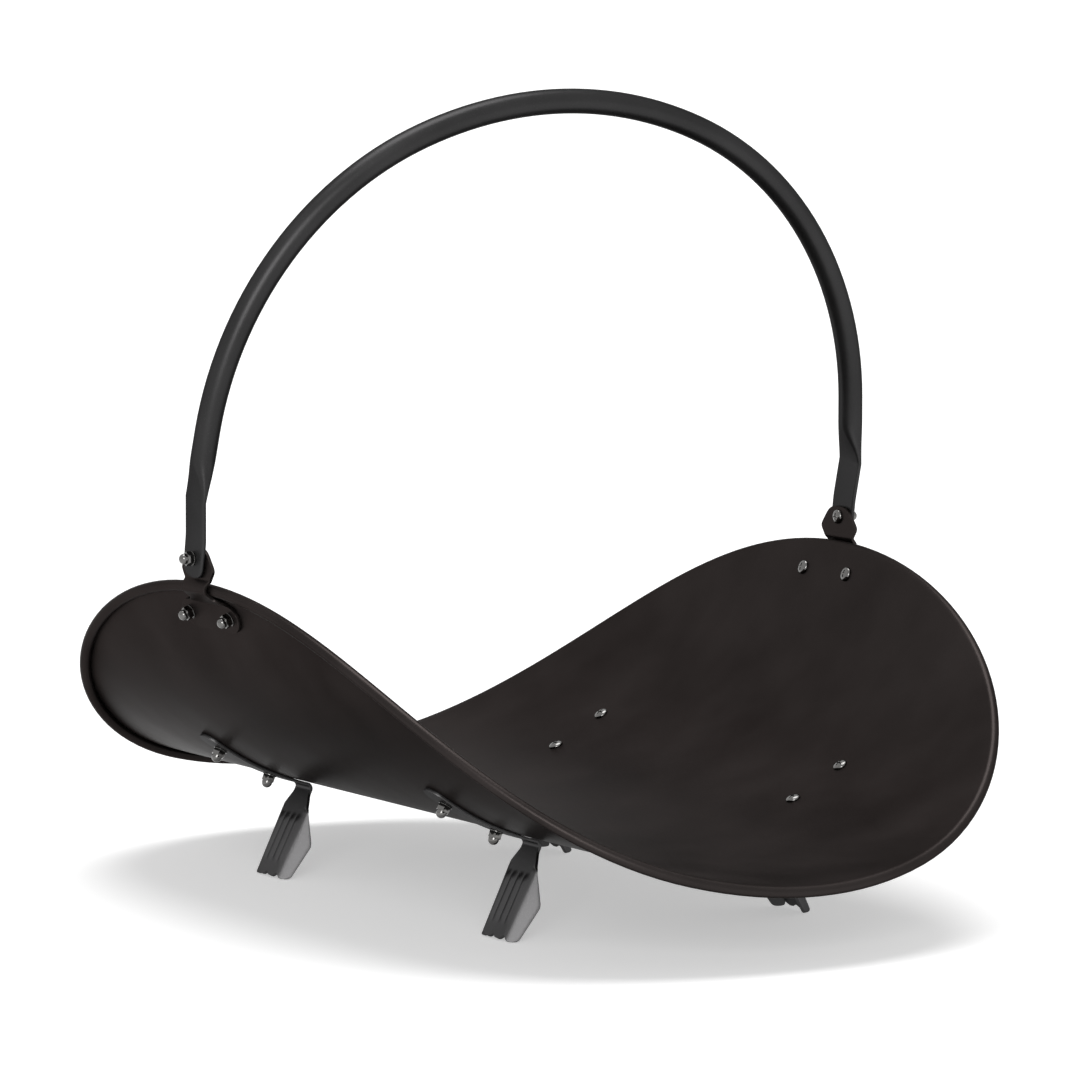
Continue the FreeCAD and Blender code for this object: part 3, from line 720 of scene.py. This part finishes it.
def bracket_rows():
    """Half widths of the bracket's blank from the top of its head to its bottom edge."""
    marks = ((0, 0.0040), (0.0002, 0.0060), (0.0010, 0.0087), (0.0024, 0.0111), (0.0044, 0.0132),
             (0.0070, 0.0153), (0.0096, 0.0174), (0.0118, 0.0192), (0.0136, 0.0199),
             (0.0152, 0.0194), (0.0172, 0.0180), (0.0192, 0.0165), (0.0212, 0.0152),
             (0.0234, 0.0148), (0.0260, 0.0148), (0.0288, 0.0148), (0.0315, 0.0148),
             (0.0340, 0.0149), (0.0362, 0.0154), (0.0380, 0.0176), (0.0394, 0.0226),
             (0.0407, 0.0282), (0.0423, 0.0319), (0.0444, 0.0343), (0.0467, 0.0354),
             (0.0492, 0.0356), (0.0517, 0.0352), (0.0541, 0.0338), (0.0562, 0.0315),
             (0.0579, 0.0284), (0.0589, 0.0255), (0.0594, 0.0225))
    return [(along, [half * part / 4 for part in (1, 2, 3, 4)]) for along, half in marks]


class LOGRACK_OT_brackets(bpy.types.Operator):
    """Cut a bracket's blank, bend it over the rim, and copy it to the other side"""
    bl_idname = "lograck.brackets"
    bl_label = "Brackets"

    def execute(self, context):
        pan = context.scene.lograck_pan
        fitting = context.scene.lograck_fitting
        plate = blank_from_rows(bracket_rows())
        apply_modifier(plate, "SUBSURF", levels=2, render_levels=2)
        thicken(plate, fitting.bracket_thick, EDGE_ROUND)
        start, heading, runs = fillet_runs(bracket_corners(pan, fitting), BRACKET_BEND)
        bend_along(plate, former(start, heading, runs))
        material = coat_material("Bracket powder coat", context, "coat")
        for name, side in SIDES.items():
            piece = placed_copy(plate, side, (0, 0, 0))
            finish_piece(piece, "stamped_bracket_" + name, BASKET,
                         ["bracket_" + name], material)
        bpy.data.objects.remove(plate)
        return {"FINISHED"}


# ---------------------------------------------------------------- legs

PAD_TOP = math.radians(37.69)
PAD_BEND = math.radians(15.75)
BEND_RADIUS = 0.0034
PAD_HALF = 0.00975
FOOT_FOLD = 0.0132
FOOT_LENGTH = 0.0613
FOLD_HALF = 0.0152
SOLE_HALF = 0.0130
FOLD_ROUND = 0.0008
COLUMN_REACH = 0.0002
PAD_STEPS = 14
BEND_STEPS = 6
NOTCH_DEPTH = 0.0026
RIB_COLUMNS = (0.0009, 0.0022, 0.0038, 0.0054, 0.0068, 0.0077, 0.0089, 0.0103, 0.0116)
RIB_HEIGHTS = (0, 0.0010, 0.0013, 0.0010, 0, 0, 0.0009, 0.0013, 0.0008)
SOLE_CURVE = (0.0019, 0.0006, 0.0001, 0, 0, 0.0001, 0.0005, 0.0013, 0.0026, 0.0034)
# Start, end and share of the full height, down the length of a rib.
RIB_RUNS = ((0.0225, 0.0470, 1), (0.0205, 0.0225, 0.8), (0.0190, 0.0205, 0.45),
            (0.0178, 0.0190, 0.15), (0.0470, 0.0490, 0.8), (0.0490, 0.0505, 0.45),
            (0.0505, 0.0520, 0.15))
# Reach above the sole and share of the move, for the rows that follow its curve.
SOLE_RUNS = ((0, 1), (0.0007, 0.75), (0.0015, 0.5), (0.0025, 0.25))


def leg_lengths(pan, fitting):
    """Length of the pad's middle line, and the turn of the bend below it."""
    radius = pan.wing_radius - pan.bead + pan.sheet + fitting.seat_gap + fitting.leg_thick / 2
    return radius * (PAD_TOP - PAD_BEND), math.radians(90) + fitting.splay - PAD_BEND


def fold_half(drop):
    """Half width between the fold lines, a distance down the foot."""
    part = (drop - FOOT_FOLD) / (FOOT_LENGTH - FOOT_FOLD)
    return FOLD_HALF + (SOLE_HALF - FOLD_HALF) * part


def flange_width(drop):
    """Width of the folded side, a distance down the foot."""
    marks = ((0, 0.0004), (0.0190, 0.0112), (0.0214, 0.0120), (0.0240, 0.0117),
             (0.0445, 0.0086), (0.0464, 0.0075), (0.0474, 0.0052), (0.0481, 0.0030))
    down = drop - FOOT_FOLD
    for (near, wide), (far, narrow) in zip(marks, marks[1:]):
        if down <= far:
            return wide + (narrow - wide) * (down - near) / (far - near)
    return marks[-1][1]


def strip_row(along, half):
    """A row of the pad or the neck, its columns spread over the half width."""
    count = len(RIB_COLUMNS) + 4
    return along, [half * (index + 1) / count for index in range(count)]


def leg_rows(pad, bend):
    """Rows of the leg's blank, from the pad's round end to the sole."""
    rows = []
    for degrees in (8, 20, 32, 45, 60, 75, 90):
        turn = math.radians(degrees)
        rows.append(strip_row(PAD_HALF * (1 - math.cos(turn)), PAD_HALF * math.sin(turn)))
    rows += [strip_row(PAD_HALF + (pad - PAD_HALF) * index / PAD_STEPS, PAD_HALF)
             for index in range(1, PAD_STEPS + 1)]
    rows += [strip_row(pad + bend * index / BEND_STEPS, PAD_HALF)
             for index in range(1, BEND_STEPS + 1)]
    foot = pad + bend
    for drop, half in ((0.0013, 0.00975), (0.0028, 0.0099), (0.0042, 0.0106), (0.0058, 0.0115),
                       (0.0074, 0.0124), (0.0092, 0.0134), (0.0110, 0.0143), (0.0124, 0.0149)):
        rows.append(strip_row(foot + drop, half))
    for drop in (0.0140, 0.0155, 0.0170, 0.0182, 0.0196, 0.0212, 0.0230, 0.0250, 0.0270, 0.0290,
                 0.0310, 0.0322, 0.0334, 0.0346, 0.0360, 0.0380, 0.0400, 0.0420, 0.0440, 0.0460,
                 0.0479, 0.0498, 0.0513, 0.0528, 0.0545, 0.0562, 0.0577, 0.0588, 0.0598, 0.0606,
                 0.0613):
        fold = fold_half(drop)
        flange = flange_width(drop)
        columns = list(RIB_COLUMNS) + [fold - FOLD_ROUND, fold + FOLD_ROUND]
        columns += [fold + FOLD_ROUND + (flange - FOLD_ROUND / 2) * part for part in (0.5, 1)]
        rows.append((foot + drop, columns))
    return rows


def swing(angle, axis, centre):
    """Turns the selection by the right-hand rule about an axis through a centre."""
    bpy.ops.transform.rotate(value=-angle, orient_axis=axis, orient_type="GLOBAL",
                             center_override=centre)


def fold_sides(obj, foot, fitting):
    """Folds the sides of the foot inwards about their slanted fold lines."""
    slant = math.atan2(SOLE_HALF - FOLD_HALF, FOOT_LENGTH - FOOT_FOLD)
    for side in (1, -1):
        hinge = (foot + FOOT_FOLD, side * FOLD_HALF, 0)

        def beyond(place):
            drop = place.x - foot
            return drop > FOOT_FOLD and side * place.y > fold_half(drop) + 0.0001
        mark(obj, beyond)
        swing(-side * slant, "Z", hinge)
        swing(-side * fitting.fold, "X", hinge)
        swing(side * slant, "Z", hinge)


def press_ribs(obj, foot):
    """Presses four long ribs with round ends out of the face of the foot."""
    for column, rise in zip(RIB_COLUMNS, RIB_HEIGHTS):
        for low, high, part in RIB_RUNS:
            mark(obj, lambda place: low < place.x - foot < high
                 and abs(abs(place.y) - column) < COLUMN_REACH)
            bpy.ops.transform.translate(value=(0, 0, rise * part))


def cut_sole(obj, foot):
    """Draws the bottom edge in to two toes."""
    sole = foot + FOOT_LENGTH
    mark(obj, lambda place: place.x > sole - NEAR and abs(place.y) < NEAR)
    bpy.ops.transform.translate(value=(-NOTCH_DEPTH, 0, 0))
    columns = RIB_COLUMNS + (SOLE_HALF - FOLD_ROUND,)
    for column, move in zip(columns, SOLE_CURVE):
        for reach, part in SOLE_RUNS:
            mark(obj, lambda place: abs(place.x - sole + reach) < 2 * NEAR
                 and abs(abs(place.y) - column) < COLUMN_REACH)
            bpy.ops.transform.translate(value=(-move * part, 0, 0))


def trim_at_floor(obj):
    """Flattens whatever reaches below the floor."""
    open_mesh(obj)
    mark(obj, lambda place: place.z < 0)
    bpy.ops.transform.resize(value=(1, 1, 0), center_override=(0, 0, 0))
    close_mesh()


class LOGRACK_OT_legs(bpy.types.Operator):
    """Cut a leg's blank, press its ribs, fold its sides, bend it, and copy it four times"""
    bl_idname = "lograck.legs"
    bl_label = "Legs"

    def execute(self, context):
        pan = context.scene.lograck_pan
        fitting = context.scene.lograck_fitting
        pad, turn = leg_lengths(pan, fitting)
        bend = BEND_RADIUS * turn
        foot = pad + bend
        blank = blank_from_rows(leg_rows(pad, bend))
        open_mesh(blank)
        cut_sole(blank, foot)
        press_ribs(blank, foot)
        fold_sides(blank, foot, fitting)
        close_mesh()
        apply_modifier(blank, "SUBSURF", levels=1, render_levels=1)
        thicken(blank, fitting.leg_thick, EDGE_ROUND)
        seat = pan.sheet + fitting.seat_gap + fitting.leg_thick / 2
        start = trough_place(pan, PAD_TOP, seat)
        runs = [(pad, PAD_BEND - PAD_TOP), (bend, turn), (FOOT_LENGTH + 0.01, 0)]
        bend_along(blank, former((start.x, start.z), math.pi + PAD_TOP, runs))
        trim_at_floor(blank)
        # The legs' coat is lighter and more metallic than the trough's, which gives the feet's
        # folded sides a painted highlight.
        material = coat_material("Leg powder coat", context, "leg_coat", LEG_GLOSS)
        for side_name, side in SIDES.items():
            for end_name, end in ENDS.items():
                name = f"leg_{end_name}_{side_name}"
                piece = placed_copy(blank, side, (0, end * fitting.leg_y, 0))
                finish_piece(piece, "stamped_" + name, BASKET,
                             [name], material)
        bpy.data.objects.remove(blank)
        return {"FINISHED"}


# ---------------------------------------------------------------- fasteners

NUT_CORNER = 0.00462
HEX_HEIGHT = 0.004
DOME_RADIUS = 0.0034
DOME_MIDDLE = 0.005
WASHER_HOLE = 0.0026
SHANK_RADIUS = 0.0025
THREAD_PAST_GRIP = 0.006
OUTER_BOLT = math.radians(33.1)
INNER_BOLT = math.radians(22.2)
PIVOT_PLAY = 0.0004


def turned(steps, vertices=36):
    """A turned part: a ring taken through (radius, height) steps, closed at both ends."""
    clear_selection()
    radius, height = steps[0]
    bpy.ops.mesh.primitive_circle_add(vertices=vertices, radius=radius, fill_type="NGON",
                                      location=(0, 0, height))
    part = bpy.context.object
    apply_place(part)
    open_mesh(part)
    bpy.ops.mesh.select_all(action="SELECT")
    for wide, high in steps[1:]:
        bpy.ops.mesh.extrude_region_move()
        bpy.ops.transform.translate(value=(0, 0, high - height))
        if wide != radius:
            scale = wide / radius
            bpy.ops.transform.resize(value=(scale, scale, 1), center_override=(0, 0, high))
        radius, height = wide, high
    outward_normals()
    close_mesh()
    return part


def arc_steps(radius, middle, low, high, count):
    """Steps round a ball's profile, from one angle above the middle to another."""
    steps = []
    for index in range(count + 1):
        turn = math.radians(low + (high - low) * index / count)
        steps.append((radius * math.cos(turn), middle + radius * math.sin(turn)))
    return steps


def cut_with(obj, tool, operation):
    apply_modifier(obj, "BOOLEAN", object=tool, operation=operation, solver="EXACT")
    bpy.data.objects.remove(tool)


def join(parts):
    take(parts[0])
    for part in parts[1:]:
        part.select_set(True)
    bpy.ops.object.join()
    return bpy.context.object


def make_domed_nut():
    """A hexagon with chamfered corners under a round cap, base at z = 0."""
    hexagon = turned([(NUT_CORNER, 0), (NUT_CORNER, HEX_HEIGHT)], 6)
    cone = turned([(0.0041, -0.0002), (0.0047, 0.0003), (0.0047, 0.0034), (0.0040, 0.0040)], 48)
    cut_with(hexagon, cone, "INTERSECT")
    apply_modifier(hexagon, "BEVEL", width=0.00012, segments=2, limit_method="ANGLE",
                   angle_limit=math.radians(40))
    cap = turned([(DOME_RADIUS, 0.0034), (DOME_RADIUS, DOME_MIDDLE)]
                 + arc_steps(DOME_RADIUS, DOME_MIDDLE, 8, 88, 10), 40)
    return join([hexagon, cap])


def make_washer():
    """A flat ring, base at z = 0."""
    ring = turned([(0.0044, 0), (0.0045, 0.0001), (0.0045, 0.0005), (0.0044, 0.0006)], 48)
    hole = turned([(WASHER_HOLE, -0.001), (WASHER_HOLE, 0.002)], 40)
    cut_with(ring, hole, "DIFFERENCE")
    return ring


def make_bolt(grip):
    """A round head with a cross recess, its shank along +Z; the head bears at z = 0."""
    shank = turned([(SHANK_RADIUS, grip + THREAD_PAST_GRIP), (SHANK_RADIUS, -0.0002)], 24)
    head = turned([(0.0046, 0), (0.00475, -0.0001), (0.00475, -0.0006)]
                  + [(wide, -0.0006 - high) for wide, high in
                     ((0.0046, 0.0005), (0.0042, 0.0009), (0.0035, 0.0013), (0.0026, 0.0016),
                      (0.0016, 0.0018), (0.0006, 0.0019))], 40)
    for length, width in ((0.0050, 0.0010), (0.0010, 0.0050)):
        clear_selection()
        bpy.ops.mesh.primitive_cube_add(size=1, scale=(length, width, 0.0028),
                                        location=(0, 0, -0.0026))
        slot = bpy.context.object
        apply_place(slot)
        cut_with(head, slot, "DIFFERENCE")
    return join([shank, head])


def set_fastener(model, name, seat, outward, height, material):
    """Copies a fastener to its seat, with its axis along the seat's normal."""
    take(model)
    bpy.ops.object.duplicate(linked=False)
    piece = bpy.context.object
    piece.rotation_euler = outward.to_track_quat("Z", "Y").to_euler()
    piece.location = seat + outward * height
    apply_place(piece)
    finish_piece(piece, "fitted_" + name, BASKET, [name], material, 35)


class LOGRACK_OT_fasteners(bpy.types.Operator):
    """Make one bolt, washer and domed nut for each grip and set them in their holes"""
    bl_idname = "lograck.fasteners"
    bl_label = "Fasteners"

    def execute(self, context):
        pan = context.scene.lograck_pan
        fitting = context.scene.lograck_fitting
        handle = context.scene.lograck_handle
        gap = fitting.seat_gap
        clamp = fitting.head_gap + pan.sheet + 2 * gap
        leg_grip = clamp + fitting.leg_thick
        bracket_grip = clamp + fitting.bracket_thick
        pivot_grip = fitting.bracket_thick + gap + handle.flat_thick + PIVOT_PLAY
        seats = []
        bracket_angle = trough_slope(pan, fitting.bracket_bolt_arc)
        for side_name, side in SIDES.items():
            head_x = side * (fitting.bracket_face - fitting.bracket_thick - gap)
            seats.append(("pivot_{}_" + side_name, Vector((head_x, 0, PIVOT_HEIGHT)),
                          Vector((side, 0, 0)), pivot_grip))
            for end_name, end in ENDS.items():
                holes = [(f"leg_{{}}_{end_name}_{side_name}_outer", OUTER_BOLT,
                          fitting.leg_y, leg_grip),
                         (f"leg_{{}}_{end_name}_{side_name}_inner", INNER_BOLT,
                          fitting.leg_y, leg_grip),
                         (f"bracket_{{}}_{end_name}_{side_name}", bracket_angle,
                          fitting.bracket_bolt_y, bracket_grip)]
                for name, angle, along, grip in holes:
                    seat = trough_place(pan, side * angle, -fitting.head_gap)
                    seat.y = end * along
                    outward = Vector((side * math.sin(angle), 0, -math.cos(angle)))
                    seats.append((name, seat, outward, grip))
        material = plate_material(context)
        bolts = {grip: make_bolt(grip) for grip in (leg_grip, pivot_grip)}
        bolts[bracket_grip] = bolts[leg_grip]
        washer = make_washer()
        nut = make_domed_nut()
        for name, seat, outward, grip in seats:
            set_fastener(bolts[grip], name.format("bolt"), seat, outward, 0, material)
            set_fastener(washer, name.format("washer"), seat, outward, grip, material)
            set_fastener(nut, name.format("nut"), seat, outward,
                         grip + fitting.washer_thick, material)
        for model in set(bolts.values()) | {washer, nut}:
            bpy.data.objects.remove(model)
        return {"FINISHED"}


# ---------------------------------------------------------------- stage

FLOOR_LIFT = 0.44
FILL_LEVEL = 0.28
# Name, turn in degrees, strength, and apparent width in degrees.
SUNS = (("overhead_light", (-8, 0, -31), 2.0, 40), ("front_light", (72, 0, -33), 1.3, 28))
CAMERA_AZIMUTH = math.radians(-31.374)
CAMERA_ELEVATION = math.radians(6.128)
CAMERA_TARGET = (0, 0, 0.192)
CAMERA_RIGHT = 0.007552
CAMERA_UP = 0.037532
CAMERA_BACK = 4.234848
CAMERA_LENS = 218.960


def seen_directly(node, link):
    """One for what the camera, a reflection or clear glass sees, nothing for the light itself."""
    rays = node("LightPath")
    seen = rays.outputs["Is Camera Ray"]
    for kind in ("Is Glossy Ray", "Is Transmission Ray"):
        either = node("Math", operation="MAXIMUM")
        link(seen, either.inputs[0])
        link(rays.outputs[kind], either.inputs[1])
        seen = either.outputs["Value"]
    return seen


def floor_material(context):
    """Pale floor that reads as white around the object and keeps its soft shadow."""
    colour = context.scene.lograck_finish.floor
    material, shader, node, link = new_finish("Studio floor")
    shader.inputs["Base Color"].default_value = list(colour) + [1]
    shader.inputs["Roughness"].default_value = 0.9
    shader.inputs["Specular IOR Level"].default_value = 0.1
    shader.inputs["Emission Color"].default_value = (1, 1, 1, 1)
    lift = node("MapRange", in_To_Min=0, in_To_Max=FLOOR_LIFT)
    link(seen_directly(node, link), lift.inputs["Value"])
    link(lift.outputs["Result"], shader.inputs["Emission Strength"])
    return material


def sun(name, turn, strength, spread_angle):
    clear_selection()
    bpy.ops.object.light_add(type="SUN", rotation=[math.radians(angle) for angle in turn],
                             location=(0, 0, 3))
    lamp = bpy.context.object
    lamp.name = name
    lamp.data.energy = strength
    lamp.data.angle = math.radians(spread_angle)


def studio_world():
    """White to the camera and in reflections, a softer fill for everything else."""
    world = bpy.data.worlds.new("Studio")
    bpy.context.scene.world = world
    world.use_nodes = True
    node, link = node_maker(world.node_tree)
    back = world.node_tree.nodes["Background"]
    back.inputs["Color"].default_value = (1, 1, 1, 1)
    level = node("MapRange", in_To_Min=FILL_LEVEL, in_To_Max=1.0)
    link(seen_directly(node, link), level.inputs["Value"])
    link(level.outputs["Result"], back.inputs["Strength"])


class LOGRACK_OT_stage(bpy.types.Operator):
    """Pale floor, soft studio light and the camera"""
    bl_idname = "lograck.stage"
    bl_label = "Stage"

    def execute(self, context):
        clear_selection()
        bpy.ops.mesh.primitive_plane_add(size=60, location=(0, 0, -0.0002))
        floor = bpy.context.object
        floor.name = "studio_floor"
        apply_place(floor)
        floor.data.materials.append(floor_material(context))
        studio_world()
        for light in SUNS:
            sun(*light)

        azimuth, height = CAMERA_AZIMUTH, CAMERA_ELEVATION
        back = Vector((math.sin(azimuth) * math.cos(height), -math.cos(azimuth) * math.cos(height),
                       math.sin(height)))
        right = Vector((math.cos(azimuth), math.sin(azimuth), 0))
        up = back.cross(right)
        eye = Vector(CAMERA_TARGET) + right * CAMERA_RIGHT + up * CAMERA_UP + back * CAMERA_BACK
        bpy.ops.object.camera_add(location=eye)
        camera = bpy.context.object
        camera.name = "camera"
        camera.matrix_world = Matrix((right, up, back)).transposed().to_4x4()
        camera.location = eye
        camera.data.sensor_width = 36
        camera.data.lens = CAMERA_LENS
        camera.data.clip_end = 200
        context.scene.camera = camera
        context.scene.view_settings.view_transform = "Standard"
        return {"FINISHED"}


# ---------------------------------------------------------------- add-on

class LOGRACK_PT_panel(bpy.types.Panel):
    """The steps of the rack, in the order they are run"""
    bl_idname = "LOGRACK_PT_panel"
    bl_label = "Log Rack"
    bl_space_type = "VIEW_3D"
    bl_region_type = "UI"
    bl_category = "Log Rack"

    def draw(self, context):
        layout = self.layout
        for step in STEPS:
            layout.operator("lograck." + step)
        for name in GROUPS:
            group = getattr(context.scene, name)
            box = layout.box()
            for key in group.bl_rna.properties.keys():
                if key not in {"rna_type", "name"}:
                    box.prop(group, key)


STEPS = ("pan", "handle", "brackets", "legs", "fasteners", "stage")
GROUPS = {
    "lograck_pan": LogRackPanProps,
    "lograck_handle": LogRackHandleProps,
    "lograck_fitting": LogRackFittingProps,
    "lograck_finish": LogRackFinishProps,
}
CLASSES = tuple(GROUPS.values()) + (
    LOGRACK_OT_pan,
    LOGRACK_OT_handle,
    LOGRACK_OT_brackets,
    LOGRACK_OT_legs,
    LOGRACK_OT_fasteners,
    LOGRACK_OT_stage,
    LOGRACK_PT_panel,
)


def register():
    for item in CLASSES:
        bpy.utils.register_class(item)
    for name, group in GROUPS.items():
        setattr(bpy.types.Scene, name, PointerProperty(type=group))


def unregister():
    for name in GROUPS:
        delattr(bpy.types.Scene, name)
    for item in reversed(CLASSES):
        bpy.utils.unregister_class(item)


def main():
    register()
    for step in STEPS:
        getattr(bpy.ops.lograck, step)()
    bpy.context.view_layer.update()


if __name__ == "__main__":
    main()
